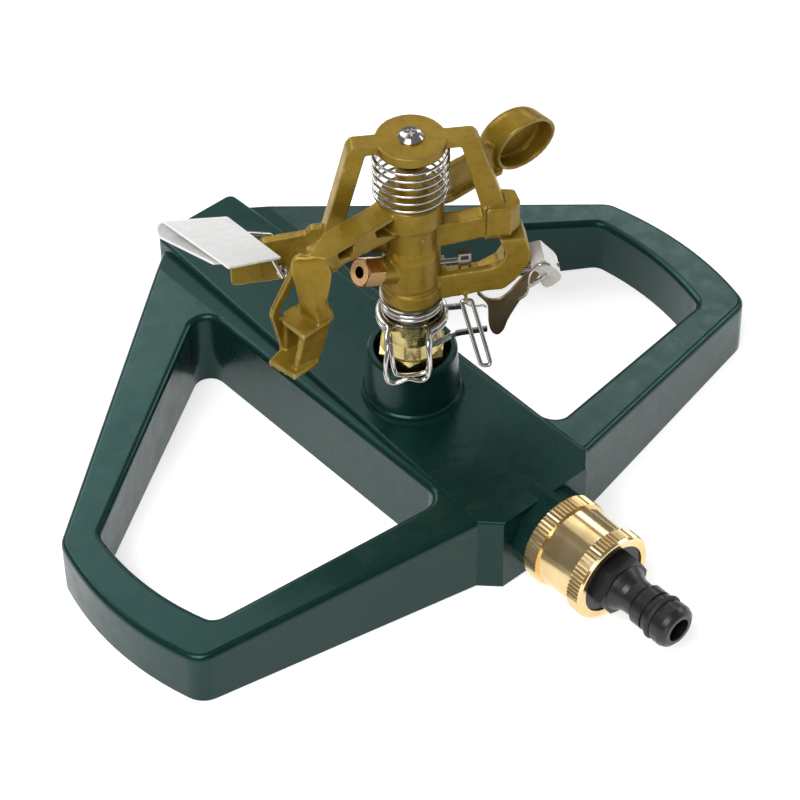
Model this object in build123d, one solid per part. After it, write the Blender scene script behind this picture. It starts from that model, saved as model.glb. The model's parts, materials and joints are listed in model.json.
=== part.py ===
from build123d import *
import math
import os

# Circular impact sprinkler on a die-cast sled base.
# Base frame: x across the wings, y along the inlet (hose side is -y), z up from the ground.
# Head frame: x along the yoke, y away from the spout side, turned by head_heading about the riser.
# Arm frame: spoon at -x, counterweight at +x, turned by arm_turn from the head.

os.makedirs("parts", exist_ok=True)

# Base casting, plan sizes measured from the riser axis
wing_back = (131.5, 34.5)
wing_front = (130.0, -39.8)
wing_bulge_x = 136.8
wing_root_rear = (18.0, 119.0)
web_rear_y = 123.0
web_rear_half = 18.0
web_front_half = 26.0
shoulder_y = -62.0
nose_half = 19.5
nose_y = -68.5
open_rear = (27.5, 86.0)
open_back = (119.5, 27.5)
open_front = (115.2, -29.5)
open_nose = (26.8, -45.0)
open_bulge_x = 121.2
wing_corner_r = 9.0
open_corner_r = 6.0
web_corner_r = 3.0

# Base casting, heights and walls
web_rear_z = 35.5
web_front_z = 32.0
wing_root_z = 31.5
wing_tip_z = 21.5
base_wall = 3.2
edge_round = 2.2
rib_t = 2.5
rib_drop = 9.0

# Head socket on the web
boss_top_z = 54.5
boss_top_r = 15.9
boss_foot_r = 17.0
boss_ring_h = 4.0
socket_r = 13.7
socket_floor_z = 43.0
well_r = 10.2
well_floor_z = 12.0

# Inlet neck and water way
inlet_z = 17.6
neck_across = 29.0
neck_end_y = -79.0
bore_r = 6.0
pipe_r = 10.5

# Riser: brass hexagon, thread and sleeve
riser_hex_across = 22.0
riser_hex_h = 14.0
riser_hex_turn = -16.0
riser_thread_r = 10.15
riser_foot_z = 30.0
sleeve_r = 8.7
sleeve_top_z = 72.5
cone_h = 4.5
nut_r = 10.3
collar_seat_r = 10.84
collar_seat_low_z = 67.9

# Spindle tube that carries the head
spindle_r = 6.6
spindle_bore_r = 5.0
spindle_flange_r = 9.2
spindle_flange_h = 2.4
spindle_grip = 8.0
seal_count = 3
seal_t = 1.0

# Fits: play of a turning fit, gap before a stop, and gap of a seat
run_fit = 0.06
stop_gap = 0.3
seat = 0.02

# Barrel of the head
head_heading = -34.0
barrel_z = 80.5
barrel_r = 10.0
barrel_lip_r = 10.6
barrel_lip_h = 6.5
barrel_shoulder_z = 103.0
neck_r = 9.0
barrel_top_z = 114.3

# Yoke above the barrel
yoke_top_z = 149.3
yoke_bar_t = 4.0
yoke_bar_w = 6.5
yoke_right_top = 22.0
yoke_right_foot = 32.0
yoke_left_top = 20.8
yoke_left_foot = 29.9
yoke_foot_z = 113.5
strut_top_w = 5.4
strut_foot_w = 6.3
bar_root_z = 101.5
bar_end_z = 105.0
block_low_z = 106.8
block_top_z = 118.6
disc_r = 11.9
disc_boss_r = 6.5
disc_boss_h = 3.5

# Blade that carries the flap
blade_near_y = 0.2
blade_t = 3.0
blade_end_x = -61.6
blade_low_z = 90.6
blade_top_z = 109.2

# Spout and brass nozzle
nozzle_turn = 29.0
nozzle_rise = 25.0
nozzle_root_z = 91.0
spout_r = 4.9
spout_len = 16.5
nozzle_hex = 9.4
nozzle_len = 7.5
nozzle_bore = 2.1

# Drive arm
arm_turn = 34.0
hub_r = 11.2
hub_low_z = 114.8
hub_top_z = 124.6
beam_low_z = 113.3
beam_top_z = 122.8
beam_near_y = -3.8
beam_far_y = 6.4
beam_end_x = -42.4
beam_tip_low_z = 115.5
arm_gap = 0.6
sleeve_post_r = 5.2
sleeve_post_top_z = 138.0
arm_pin_r = 2.4
arm_bush_r = 3.4
weight_x = 54.5
weight_y = 3.0
weight_z = 118.5
weight_r = 12.1
weight_deep = 12.0
weight_wall = 1.6
weight_floor = 6.5
weight_dip = 8.0

# Spoon at the end of the arm
spoon_near_y = -6.5
spoon_far_y = 8.0
spoon_wall = 2.0
scoop_top_z = 98.0
scoop_foot_z = 80.6
scoop_back_x = -40.5
scoop_lip_x = -56.5

# Springs
arm_coil_r = 12.6
arm_wire_r = 0.5
arm_coil_pitch = 3.3
bear_coil_r = 10.0
bear_wire_r = 0.8
bear_turns = 2.5
bear_washer_r = 10.8
bear_washer_t = 0.85

# Trip collars: wire rings open in front, each with a pinch handle and a stop tail
collar_wire_r = 0.9
collar_ring_r = collar_seat_r + run_fit + collar_wire_r
collar_upper_z = 71.5
collar_lower_z = 69.3
collar_left_angle = -139.0
collar_right_angle = -67.0
upper_handle_y = -20.2
upper_handle_z = 58.0
lower_handle_y = -16.2
lower_handle_z = 56.4
handle_left = -9.8
handle_right = 1.9
upper_tail_reach = 18.3
lower_tail_reach = 26.0
lower_tail_z = 61.7

# Trip bracket, lever and hairpin
hook_w = 11.0
hook_low_z = 80.1
trip_axis_z = 86.5
trip_axis_x = 43.5
trip_pin_r = 1.2
lever_t = 1.6
lever_y = -0.8
trip_pin_start = 28.0
trip_pin_end = 51.6
saddle_seat_x = 40.3
cheek_gap = 8.4
cheek_t = 1.0
hairpin_wire_r = 0.75
hairpin_y = -7.4
hairpin_z = 80.6
hairpin_top_x = 17.9
hairpin_gap = 3.6
hairpin_foot = (23.1, -19.6, 60.7)
lug_t = 0.9
lug_edge = 1.1

# Clip in the bracket's window
clip_rod_r = 0.9
clip_rod_x = 8.0
clip_x = 15.8
clip_y = -1.0
clip_z = 93.6
clip_w = 2.8

# Flap
flap_pin_x = -44.4
flap_pin_z = 97.0
flap_pin_r = 0.7
flap_pin_near_y = -4.8
flap_pin_far_y = 9.0
flap_t = 0.8
flap_len = 24.7
flap_span_outer = 31.5
flap_span_inner = 27.5
flap_inner_lean = 1.9
flap_fold_h = 6.4
flap_corner = (-45.2, -10.1, 111.1)
flap_azimuth = 217.0
flap_rise = 24.0
flap_lip = 7.0

# Swivel coupling and quick connector, distances along the inlet axis
swivel_rear_y = -75.0
swivel_len = 27.5
swivel_r = 16.6
swivel_band_r = 15.3
swivel_rim = 6.0
swivel_teeth = 66
tooth_deep = 0.45
swivel_bore_r = 13.2
tail_r = 9.0
tail_flange_r = 12.6
tail_flange_t = 2.2
washer_t = 2.4
plug_thread_r = 13.0
plug_hex = 19.5
plug_hex_len = 6.2
plug_reach = 31.2
plug_neck_r = 6.5
plug_body_r = 7.6
plug_tip_r = 8.1
plug_bore_r = 4.4
ring_groove_r = 6.2
ring_wire_r = 1.15
swivel_shelf = 2.5

# Half-length of cutting slabs, past every edge of the part
reach = 200.0

# Places that follow from the sizes above
seal_stack = seal_count * seal_t + stop_gap
tail_face_y = neck_end_y - swivel_shelf - stop_gap
washer_y = tail_face_y - tail_flange_t - stop_gap
plug_back_y = washer_y - washer_t - seat
plug_tip_y = swivel_rear_y - swivel_len - plug_reach
# The riser stands so that the whole length is centred on the frame's origin
head_y = -(plug_tip_y + web_rear_y) / 2
riser_at = Pos(0, head_y, 0)
head_at = riser_at * Rot(0, 0, head_heading)
arm_at = riser_at * Rot(0, 0, head_heading + arm_turn)


def save(shape, name):
    """Write one node's solids to its file."""
    export_step(shape, f"parts/{name}.step")


def disc(r, z0, z1):
    """Upright cylinder between two heights."""
    return Pos(0, 0, (z0 + z1) / 2) * Cylinder(r, z1 - z0)


def ring(r_out, r_in, z0, z1):
    """Upright tube between two heights."""
    return disc(r_out, z0, z1) - disc(r_in, z0 - 1, z1 + 1)


def box(x0, x1, y0, y1, z0, z1):
    """Box given by its limits."""
    return Pos((x0 + x1) / 2, (y0 + y1) / 2, (z0 + z1) / 2) * Box(x1 - x0, y1 - y0, z1 - z0)


def slab_xz(points, y0, y1, rounds=0.0):
    """Outline in the upright xz plane, extruded from y0 to y1."""
    face = make_face(Polyline(*points, close=True))
    if rounds:
        face = fillet(face.vertices(), rounds)
    return Pos(0, y1, 0) * extrude(Plane.XZ * face, y1 - y0)


def slab_yz(points, x0, x1):
    """Outline in the upright yz plane, extruded from x0 to x1."""
    face = make_face(Polyline(*points, close=True))
    return Pos(x0, 0, 0) * extrude(Plane.YZ * face, x1 - x0)


def turned(points):
    """Solid of revolution about z from (radius, height) points."""
    face = make_face(Polyline(*points, close=True))
    return revolve(Plane.XZ * face, Axis.Z)


def hexagon(across, z0, z1, bevel=0.0):
    """Upright hexagonal prism, its corners broken when bevel is given."""
    body = Pos(0, 0, z0) * extrude(RegularPolygon(across / 2, 6, major_radius=False), z1 - z0)
    if bevel:
        corner = across / math.sqrt(3)
        turned_cap = turned([(0, z0 - 1), (corner + 1, z0 - 1), (corner + 1, z1 - bevel * 2),
                             (corner - bevel * 2, z1), (0, z1)])
        body = body & turned_cap
    return body


def along_inlet(shape, y):
    """Lay an upright turned piece along the inlet, its z = 0 at y and +z toward the hose."""
    return Pos(0, y, inlet_z) * Rot(90, 0, 0) * shape


def wire(points, wire_r, bend):
    """Round wire along straight runs joined by bends."""
    path = FilletPolyline(*points, radius=bend)
    start = Plane(origin=path @ 0, z_dir=path % 0)
    return sweep(start * Circle(wire_r), path=path, transition=Transition.ROUND)


def coil(coil_r, wire_r, pitch, turns, z0):
    """Helical spring with its lowest wire centre at z0."""
    path = Pos(0, 0, z0) * Helix(pitch, pitch * turns, coil_r)
    start = Plane(origin=path @ 0, z_dir=path % 0)
    return sweep(start * Circle(wire_r), path=path, is_frenet=True)


def mirrored(shape):
    """The shape and its image across the inlet plane."""
    return shape + mirror(shape, Plane.YZ)


# Base casting
def wing_plan():
    """Outline of the right half of the sled, from the middle out to the wing."""
    bulge = (wing_bulge_x, (wing_back[1] + wing_front[1]) / 2)
    outline = Polyline((0, wing_root_rear[1]), wing_root_rear, wing_back)
    outline += ThreePointArc(wing_back, bulge, wing_front)
    outline += Polyline(wing_front, (web_front_half, shoulder_y), (0, shoulder_y),
                        (0, wing_root_rear[1]))
    face = make_face(outline)
    corners = [v for v in face.vertices() if v.X > wing_front[0] - 1]
    return fillet(corners, wing_corner_r)


def opening_plan():
    """The four-sided opening in a wing, bowed on its outer side."""
    bulge = (open_bulge_x, (open_back[1] + open_front[1]) / 2)
    outline = Polyline(open_rear, open_back)
    outline += ThreePointArc(open_back, bulge, open_front)
    outline += Polyline(open_front, open_nose, open_rear)
    face = make_face(outline)
    return fillet(face.vertices(), open_corner_r)


def web_plan():
    """Tapered middle web with its bevelled nose."""
    half = [(web_rear_half, web_rear_y), (web_front_half, shoulder_y), (nose_half, nose_y)]
    points = half + [(-x, y) for x, y in reversed(half)]
    face = make_face(Polyline(*points, close=True))
    rear = [v for v in face.vertices() if v.Y > web_rear_y - 1]
    return fillet(rear, web_corner_r)


def under_wing_top(drop):
    """Everything below the wings' sloping top, lowered by drop."""
    tip = wing_bulge_x + 5
    slope = (wing_root_z - wing_tip_z) / (wing_back[0] - web_front_half)
    edge = wing_tip_z - slope * (tip - wing_back[0]) - drop
    top = wing_root_z - drop
    points = [(-tip, -1), (tip, -1), (tip, edge), (web_front_half, top), (-web_front_half, top), (-tip, edge)]
    return slab_xz(points, -reach, reach)


def under_web_top(drop):
    """Everything below the web's top, which falls a little toward the inlet."""
    points = [(-reach, -1), (reach, -1), (reach, web_rear_z - drop), (web_rear_y, web_rear_z - drop),
              (nose_y, web_front_z - drop), (-reach, web_front_z - drop)]
    return slab_yz(points, -reach, reach)


def round_top(solid, radius, floor_z):
    """Round the edges that border the top faces, all above floor_z."""
    edges = [e for f in solid.faces() if f.normal_at().Z > 0.9 for e in f.edges()
             if e.center().Z > floor_z and abs(e.center().X) > 0.5]
    return fillet(ShapeList(edges), radius)


def neck_bar():
    """Eight-sided neck between the web's nose and the swivel."""
    section = RegularPolygon(neck_across / 2, 8, major_radius=False)
    bar = extrude(section, abs(neck_end_y - shoulder_y))
    return along_inlet(bar, shoulder_y)


def base_casting():
    """Thin-walled casting: web, two open wings, head socket and inlet neck."""
    wings = mirrored(extrude(wing_plan() - opening_plan(), 60)) & under_wing_top(0)
    wings = round_top(wings, edge_round, 15)
    web = extrude(web_plan(), 60) & under_web_top(0)
    web = round_top(web, edge_round * 0.6, 25)
    openings = mirrored(Pos(0, 0, -1) * extrude(opening_plan(), 60))
    boss = turned([(0, 20), (boss_foot_r + 2.0, 20), (boss_foot_r + 2.0, web_front_z),
                   (boss_foot_r + 0.9, web_front_z + 2.5), (boss_foot_r + 0.6, web_front_z + boss_ring_h),
                   (boss_foot_r, web_front_z + boss_ring_h + 0.6), (boss_top_r, boss_top_z - 0.8),
                   (boss_top_r - 0.8, boss_top_z), (0, boss_top_z)])
    body = wings + web + boss + neck_bar()
    # Hollow underside, one wall thick all round
    plan_in = offset(wing_plan(), -base_wall) - offset(opening_plan(), base_wall)
    hollow = mirrored(Pos(0, 0, -1) * extrude(plan_in, 60)) & under_wing_top(base_wall)
    web_in = Pos(0, 0, -1) * extrude(offset(web_plan(), -base_wall), 60)
    hollow += web_in & under_web_top(base_wall)
    keep = along_inlet(disc(pipe_r, 0, abs(neck_end_y)), 0) + disc(well_r + base_wall, 0, 60)
    keep += ribs()
    body -= hollow - keep
    body = body - openings
    body -= disc(socket_r, socket_floor_z, 60)
    body -= disc(well_r, well_floor_z, 60)
    body -= along_inlet(disc(bore_r, 0, 100), 0)
    body -= along_inlet(disc(tail_r + seat, 0, 25), neck_end_y + 20)
    return riser_at * body


def ribs():
    """Cross ribs under the web and the wings, held back from the ground."""
    low = rib_drop
    high = web_rear_z
    made = box(-web_front_half, web_front_half, 92, 92 + rib_t, low, high)
    made += box(-web_front_half, web_front_half, 46, 46 + rib_t, low, high)
    made += box(-rib_t / 2, rib_t / 2, 8, web_rear_y - 2, low, high)
    for x in (58, 88):
        bar = box(x, x + rib_t, -70, 110, low, high)
        made += bar + mirror(bar, Plane.YZ)
    tip = box(100, wing_bulge_x, 0, rib_t, low, high)
    made += tip + mirror(tip, Plane.YZ)
    return made


# Riser and bearing
def riser():
    """Brass riser: thread, hexagon, cone, sleeve and the seat of the collars."""
    hex_top = socket_floor_z + riser_hex_h
    body = disc(riser_thread_r, riser_foot_z, socket_floor_z)
    body += Rot(0, 0, riser_hex_turn) * hexagon(riser_hex_across, socket_floor_z, hex_top, 0.8)
    body += turned([(0, hex_top), (nut_r, hex_top), (sleeve_r, hex_top + cone_h), (0, hex_top + cone_h)])
    body += disc(sleeve_r, hex_top, sleeve_top_z)
    step = collar_seat_low_z - (collar_seat_r - sleeve_r)
    body += turned([(0, step), (sleeve_r, step), (collar_seat_r, collar_seat_low_z),
                    (collar_seat_r, sleeve_top_z), (0, sleeve_top_z)])
    return riser_at * (body - disc(spindle_r + run_fit, 0, 100))


def spindle():
    """Brass tube pressed into the barrel, with the flange that keeps the head on."""
    foot = riser_foot_z - seal_stack - spindle_flange_h
    body = disc(spindle_flange_r, foot, foot + spindle_flange_h)
    body += disc(spindle_r, foot, barrel_z + spindle_grip)
    return head_at * (body - disc(spindle_bore_r, 0, reach))


def seals():
    """Friction washers between the riser's foot and the spindle's flange."""
    made = []
    for i in range(seal_count):
        z = riser_foot_z - (i + 1) * seal_t
        made.append(riser_at * ring(spindle_flange_r - 0.2, spindle_r + 0.3, z + 0.02, z + seal_t - 0.02))
    return Compound(children=made)


def bearing_spring():
    """Short compression spring that lifts the head off the riser."""
    low = sleeve_top_z + stop_gap + bear_washer_t + 0.05 + bear_wire_r
    high = barrel_z - bear_washer_t - 0.05 - bear_wire_r
    return head_at * coil(bear_coil_r, bear_wire_r, (high - low) / bear_turns, bear_turns, low)


def bearing_washers():
    """Steel washers above and below the bearing spring."""
    bore = spindle_r + 0.1
    foot = sleeve_top_z + stop_gap
    low = head_at * ring(bear_washer_r, bore, foot, foot + bear_washer_t)
    high = head_at * ring(bear_washer_r + 0.4, bore, barrel_z - bear_washer_t, barrel_z)
    return Compound(children=[low, high])


# Head casting
def barrel():
    """Turned barrel with its grooved lip, waist and top neck."""
    lip = barrel_z + barrel_lip_h
    return turned([(0, barrel_z), (barrel_lip_r, barrel_z), (barrel_lip_r, lip - 1),
                   (barrel_lip_r - 0.9, lip - 0.5), (barrel_lip_r - 0.9, lip + 0.5),
                   (barrel_r, lip + 1), (barrel_r, barrel_shoulder_z - 2),
                   (neck_r, barrel_shoulder_z + 1), (neck_r, barrel_top_z - 0.8),
                   (neck_r - 0.8, barrel_top_z), (0, barrel_top_z)])


def to_nozzle(shape):
    """Carry an upright piece onto the spout's axis, +z toward the jet."""
    return Pos(0, 0, nozzle_root_z) * Rot(0, 0, nozzle_turn) * Rot(0, nozzle_rise - 90, 0) * shape


def yoke():
    """Trapezoid bridge over the arm: top bar, disc, two raking struts and their feet."""
    half = yoke_bar_w / 2
    low = yoke_top_z - yoke_bar_t
    foot = bar_end_z - 1.0
    right = [(yoke_right_top - strut_top_w, low), (yoke_right_top - 1.0, yoke_top_z),
             (yoke_right_top + 0.6, yoke_top_z - 2.0), (yoke_right_foot, block_top_z - 1.5),
             (yoke_right_foot, foot), (yoke_right_foot - strut_foot_w - 1.2, foot),
             (yoke_right_foot - strut_foot_w - 1.2, yoke_foot_z)]
    left = [(-yoke_left_top + strut_top_w, low), (-yoke_left_top + 1.0, yoke_top_z),
            (-yoke_left_top - 0.6, yoke_top_z - 2.0), (-yoke_left_foot, yoke_foot_z),
            (-yoke_left_foot, foot), (-yoke_left_foot + strut_foot_w, foot),
            (-yoke_left_foot + strut_foot_w, yoke_foot_z)]
    bar = box(-yoke_left_top + 1.0, yoke_right_top - 1.0, -half, half, low, yoke_top_z)
    body = bar + slab_xz(right, -half, half) + slab_xz(left, -half, half)
    body += disc(disc_r, low, yoke_top_z)
    body += turned([(0, low), (disc_boss_r + 1.5, low), (disc_boss_r, low - disc_boss_h),
                    (0, low - disc_boss_h)])
    # Lower cross bars from the barrel out to both feet
    top = beam_low_z - arm_gap
    inner = half - 0.05
    body += slab_xz([(4, bar_root_z), (26, bar_end_z), (26, top + 1.6), (16, top), (4, top)], -inner, inner)
    body += slab_xz([(-4, bar_root_z), (-28, bar_end_z - 1.0), (-28, top), (-4, top)], -inner, inner)
    return body


def end_block():
    """Bevelled block at the foot of the outer strut."""
    plan = [(25.0, -5.2), (33.0, -5.8), (37.0, -1.0), (36.0, 5.0), (30.0, 6.2), (25.0, 4.0)]
    face = make_face(Polyline(*plan, close=True))
    block = Pos(0, 0, block_low_z) * extrude(face, block_top_z - block_low_z)
    return chamfer(block.faces().sort_by(Axis.Z)[-1].edges(), 0.8)


def hook():
    """Curved bracket from the barrel's foot up to just under the end block."""
    half = hook_w / 2
    low = hook_low_z
    outer = Polyline((6, low), (26, low + 2.1), (30.5, low + 1.9))
    outer += ThreePointArc((30.5, low + 1.9), (36.4, low + 7.5), (40.0, low + 14.4))
    outer += Polyline((40.0, low + 14.4), (40.2, low + 18.2), (38.2, low + 24.5), (29.5, low + 24.5),
                      (31.5, low + 18.4))
    outer += ThreePointArc((31.5, low + 18.4), (29.5, low + 13.9), (25, low + 11.9))
    outer += Polyline((25, low + 11.9), (6, low + 10.5), (6, low))
    body = Pos(0, half, 0) * extrude(Plane.XZ * make_face(outer), hook_w)
    pocket = slab_xz([(12, low + 5.4), (24, low + 6.4), (30, low + 9.9), (33.5, low + 16.9), (31, low + 26),
                      (20, low + 26), (12, low + 14.4)], -half + 3, half + 1)
    # Post that joins the bracket's outer end to the block behind the slot
    post = box(30.5, 36.0, 2.0, half, low + 21, block_low_z + 1)
    # Flat land that the trip bracket's foot is fixed to
    land = box(36, saddle_seat_x, lever_y - 3.2, lever_y + 3.2, low + 10, low + 14.4)
    # Below the barrel the bracket keeps clear of the bearing spring
    return body - pocket + post + land - disc(bear_washer_r + 1.2, 70, barrel_z)


def blade():
    """Thin upright blade beyond the inner foot."""
    low = blade_low_z
    top = blade_top_z
    end = blade_end_x
    points = [(-25, low + 1.6), (-25, top + 2.0), (-30.6, top + 4.0), (-33.8, top + 3.7), (-35.6, top + 1.5),
              (-50.3, top - 0.1), (-53.2, top - 3.2), (end + 1.2, top - 9.0), (end, top - 10.4), (end, low + 0.8),
              (end + 0.8, low)]
    return slab_xz(points, blade_near_y, blade_near_y + blade_t)


def head_casting():
    """Painted die-cast head: barrel, spout, yoke, bracket and blade in one piece."""
    body = barrel() + yoke() + end_block() + hook() + blade() + hairpin_lug()
    body += to_nozzle(disc(spout_r, 0, spout_len))
    body -= disc(spindle_r + seat, 0, barrel_z + spindle_grip + seat)
    body -= disc(spindle_bore_r, 0, nozzle_root_z + 2)
    body -= disc(arm_pin_r + seat, barrel_top_z - 9, reach)
    body -= to_nozzle(disc(3.2, 0, spout_len + 1))
    body -= to_nozzle(disc(3.7, spout_len - 6, spout_len + 1))
    body -= Pos(flap_pin_x, 0, flap_pin_z) * Rot(90, 0, 0) * Cylinder(flap_pin_r + run_fit, 20)
    body -= out_along_x(trip_pin_r + seat, trip_pin_start - seat, 60)
    body -= Pos(0, clip_y, clip_z) * Rot(0, 90, 0) * Pos(0, 0, clip_rod_x + 2 - seat) * Cylinder(clip_rod_r + seat, 4)
    return head_at * body


def nozzle():
    """Brass nozzle: threaded shank, hexagon and a tapered bore."""
    shank = disc(3.68, spout_len - 5.9, spout_len)
    nut = hexagon(nozzle_hex, spout_len, spout_len + nozzle_len, 0.5)
    body = shank + nut
    cone = turned([(0, spout_len - 6), (3.0, spout_len - 6), (nozzle_bore, spout_len + nozzle_len),
                   (nozzle_bore, spout_len + nozzle_len + 1), (0, spout_len + nozzle_len + 1)])
    return head_at * to_nozzle(body - cone)


def arm_pin():
    """Stainless pin that the arm swings on."""
    return head_at * disc(arm_pin_r, barrel_top_z - 9, yoke_top_z)


def pin_screw():
    """Round screw head that keeps the pin in the disc."""
    cap = turned([(0, yoke_top_z), (4.5, yoke_top_z), (4.5, yoke_top_z + 0.6), (3.4, yoke_top_z + 1.8),
                  (1.6, yoke_top_z + 2.3), (0, yoke_top_z + 2.3)])
    slot = box(-2.2, 2.2, -0.35, 0.35, yoke_top_z + 1.4, yoke_top_z + 3)
    return head_at * (cap - slot - Rot(0, 0, 90) * slot)


# Drive arm
def spoon():
    """Drive spoon: twisted vane, far vane, scoop and foot."""
    near = spoon_near_y
    far = spoon_far_y
    mid = (near + far) / 2
    t = spoon_wall
    high = beam_top_z - 1.6
    top = Polyline((-52.0, far - 2.0), (-49.5, far), (-41.0, beam_near_y + 0.5), (-43.5, beam_near_y), close=True)
    foot = Polyline((-55.0, near + t), (-55.0, near), (-41.5, near), (-41.5, near + t), close=True)
    vane = loft([Pos(0, 0, high) * make_face(top), Pos(0, 0, scoop_top_z - 1) * make_face(foot)], ruled=True)
    # Scoop wall: near side, round back and short far side
    plan = Polyline((scoop_lip_x, near), (-45, near))
    plan += ThreePointArc((-45, near), (scoop_back_x, mid), (-45, far))
    plan += Polyline((-45, far), (-51, far), (-51, far - t), (-46, far - t))
    plan += ThreePointArc((-46, far - t), (scoop_back_x - t, mid), (-46, near + t))
    plan += Polyline((-46, near + t), (scoop_lip_x, near + t), (scoop_lip_x, near))
    wall = Pos(0, 0, scoop_foot_z) * extrude(make_face(plan), scoop_top_z - scoop_foot_z)
    wall &= slab_xz([(-57.5, 70), (-30, 70), (-30, 110), (-53.0, 110), (-53.0, scoop_top_z)], -20, 20)
    plate = Polyline((-58.4, far), (-58.4, near), (-45, near))
    plate += ThreePointArc((-45, near), (scoop_back_x, mid), (-45, far))
    plate += Polyline((-45, far), (-58.4, far))
    floor = Pos(0, 0, scoop_foot_z) * extrude(make_face(plate), t)
    lid = Pos(0, 0, scoop_top_z - t) * extrude(make_face(plate), t) & box(-53, 0, -20, 20, 0, 200)
    far_vane = slab_xz([(-44.0, high), (-49.5, high - 1.6), (-51.0, 112.5), (-54.9, 106.0), (-56.4, 101.5),
                        (-55.8, 97.0), (-53.0, scoop_foot_z + 1), (-50.0, scoop_foot_z + 1), (-51.6, 97.0),
                        (-51.0, 101.0), (-45.5, 112.0)], far - t, far)
    return vane + wall + floor + lid + far_vane


def counterweight():
    """Open cup at the tail of the arm."""
    cup = turned([(0, -weight_deep / 2), (weight_r - 2.5, -weight_deep / 2), (weight_r, -weight_deep / 2 + 2.0),
                  (weight_r, weight_deep / 2), (weight_r - weight_wall, weight_deep / 2),
                  (weight_r - weight_wall - 0.6, weight_deep / 2 - weight_floor), (0, weight_deep / 2 - weight_floor)])
    return at_weight(cup)


def at_weight(shape):
    """Lay an upright turned piece on the counterweight's axis, +z out of its mouth."""
    return Pos(weight_x, weight_y, weight_z) * Rot(90 + weight_dip, 0, 0) * shape


def drive_arm():
    """Cast arm: hub, ribbed beam with the spoon, and the web out to the counterweight."""
    hub = turned([(0, hub_low_z), (hub_r - 0.6, hub_low_z), (hub_r, hub_low_z + 0.6), (hub_r, hub_top_z - 0.8),
                  (hub_r - 0.8, hub_top_z), (0, hub_top_z)])
    hub += disc(sleeve_post_r, hub_top_z - 1, sleeve_post_top_z)
    root = -hub_r + 3.0
    near = beam_near_y
    far = beam_far_y
    top = beam_top_z
    beam = slab_xz([(root, hub_low_z), (root, hub_top_z - 1.0), (-13.0, top), (beam_end_x, top),
                    (beam_end_x - 4.6, top - 1.6), (-46.0, 113.5), (-37, beam_tip_low_z), (-10, beam_low_z)],
                   near, far)
    # The beam's top is cut off askew beyond the far side
    beam -= Pos(0, 0, top - 1.6) * extrude(
        make_face(Polyline((-31.0, far + 1), (-38.0, 4.2), (beam_end_x, 2.2), (beam_end_x, near - 1), (-60, near - 1),
                           (-60, far + 1), close=True)), 5)
    # Pockets in the near side, between the flanges and a cross rib
    pocket_1 = [(-10.0, top - 1.2), (-19.0, top - 1.2), (-18.3, top - 4.4), (-11.6, 115.4), (-10.0, 115.4)]
    pocket_2 = [(-28.6, top - 1.2), (-35.5, top - 1.4), (-34.5, 118.3), (-28.9, 116.9)]
    for pocket in (pocket_1, pocket_2):
        beam -= slab_xz(pocket, near - 1, near + 4)
    web = slab_xz([(6, hub_low_z + 0.4), (6, hub_top_z - 0.8), (20, hub_top_z + 1.4), (weight_x - 11, weight_z + 11.0),
                   (weight_x - 4, weight_z + 3.5), (weight_x - 2, weight_z - 9.9), (weight_x - 8, weight_z - 11.9),
                   (26, hub_low_z - 4.2)], -1.2, 3.2)
    web -= at_weight(disc(weight_r - weight_wall, weight_deep / 2 - weight_floor, weight_deep))
    body = hub + beam + web + counterweight() + spoon()
    body -= disc(arm_bush_r + seat, 100, reach)
    return arm_at * body


def arm_bush():
    """Bush pressed in the arm's hub, running on the pin."""
    return arm_at * ring(arm_bush_r, arm_pin_r + run_fit, hub_low_z + 0.2, sleeve_post_top_z)


def arm_spring():
    """Return spring between the arm's hub and the yoke's disc."""
    low = hub_top_z + arm_wire_r + 0.15
    high = yoke_top_z - yoke_bar_t - arm_wire_r - 0.15
    turns = round((high - low) / arm_coil_pitch * 2) / 2
    return head_at * coil(arm_coil_r, arm_wire_r, (high - low) / turns, turns, low)


# Trip collars
def ring_end(angle, z):
    """Point of a collar's ring at an angle."""
    a = math.radians(angle)
    return (collar_ring_r * math.cos(a), collar_ring_r * math.sin(a), z)


def bar_of(start, end):
    """Straight wire between two points."""
    path = Line(start, end)
    return sweep(Plane(origin=path @ 0, z_dir=path % 0) * Circle(collar_wire_r), path=path)


def open_ring(z):
    """Wire ring round the collars' seat, open in front."""
    turn = 360 - collar_right_angle + collar_left_angle
    path = CenterArc((0, 0, z), collar_ring_r, collar_right_angle, turn)
    return sweep(Plane(origin=path @ 0, z_dir=path % 0) * Circle(collar_wire_r), path=path)


def upper_collar():
    """Upper wire collar; its handle hangs outside the lower one's."""
    z = collar_upper_z
    y = upper_handle_y
    low = upper_handle_z
    handle = [ring_end(collar_left_angle, z), (handle_left - 1.5, y + 3.4, z - 0.6),
              (handle_left - 1.8, y + 1.0, low + 2.4), (handle_left, y, low), (handle_right, y, low),
              (handle_right + 1.5, y + 0.8, low + 3.0), (handle_right + 2.0, y + 3.9, z - 0.8),
              ring_end(collar_right_angle, z)]
    tail = bar_of((collar_ring_r - 0.4, -0.3, z), (upper_tail_reach, -0.3, z))
    return head_at * (open_ring(z) + wire(handle, collar_wire_r, 1.2) + tail)


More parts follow.
